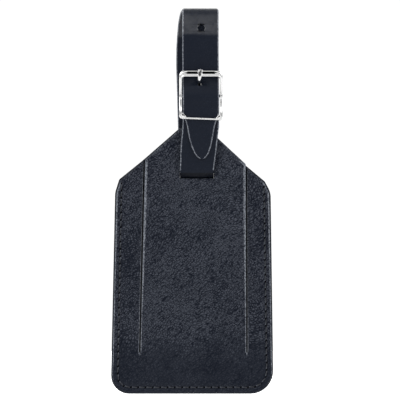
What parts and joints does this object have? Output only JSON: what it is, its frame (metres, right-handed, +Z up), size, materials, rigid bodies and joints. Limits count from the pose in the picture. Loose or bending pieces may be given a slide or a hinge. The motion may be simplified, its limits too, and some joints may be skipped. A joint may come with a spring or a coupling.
{
  "type": "luggage tag",
  "caption": "Leather luggage tag with a fold-down privacy flap over an address card, hung by a buckled leather strap.",
  "frame": {"origin": "inside top of the strap's loop, at the strap's middle, where a bag's handle carries the tag", "axes": "+Z up along the hanging tag, -Y out of the tag's front (the flap's side), +X to the right seen from the front"},
  "size_m": [0.0713, 0.0185, 0.1697],
  "materials": {
    "panel_leather": "fine pebbled grain, dyed blue-black, satin",
    "strap_leather": "smooth grain, dyed blue-black, satin",
    "thread": "waxed twisted thread",
    "card": "uncoated card",
    "plated_metal": "polished nickel plate on a casting"
  },
  "bodies": {
    "strap": {"strap": "strap_leather", "fold_thread": "thread"},
    "buckle": {"buckle_frame": "plated_metal"},
    "prong": {"prong": "plated_metal"},
    "tag": {"back_panel": "panel_leather", "front_panel": "panel_leather", "seam_thread": "thread", "bobbin_thread": "thread"},
    "flap": {"privacy_flap": "panel_leather"},
    "card": {"address_card": "card"}
  },
  "joints": [
    {"name": "tag_swing", "type": "hinge", "parent": "strap", "child": "tag", "pos_m": [-0.0035, 0, -0.0711], "axis": [1, 0, 0], "range_deg": [-3, 3]},
    {"name": "flap_fold", "type": "hinge", "parent": "tag", "child": "flap", "pos_m": [-0.0035, -0.0028, -0.15], "axis": [1, 0, 0], "range_deg": [0, 150], "stiffness_Nm_per_rad": 0.002, "deforming": ["strap"]},
    {"name": "card_slide", "type": "slide", "parent": "tag", "child": "card", "axis": [0, 0, 1], "range_m": [0, 0.004]},
    {"name": "buckle_turn", "type": "hinge", "parent": "strap", "child": "buckle", "pos_m": [0.0002, -0.0044, -0.0376], "axis": [1, 0, 0], "range_deg": [-2, 2]},
    {"name": "prong_lift", "type": "hinge", "parent": "buckle", "child": "prong", "pos_m": [0.0002, -0.0044, -0.0376], "axis": [1, 0, 0], "range_deg": [0, 4]}
  ]
}
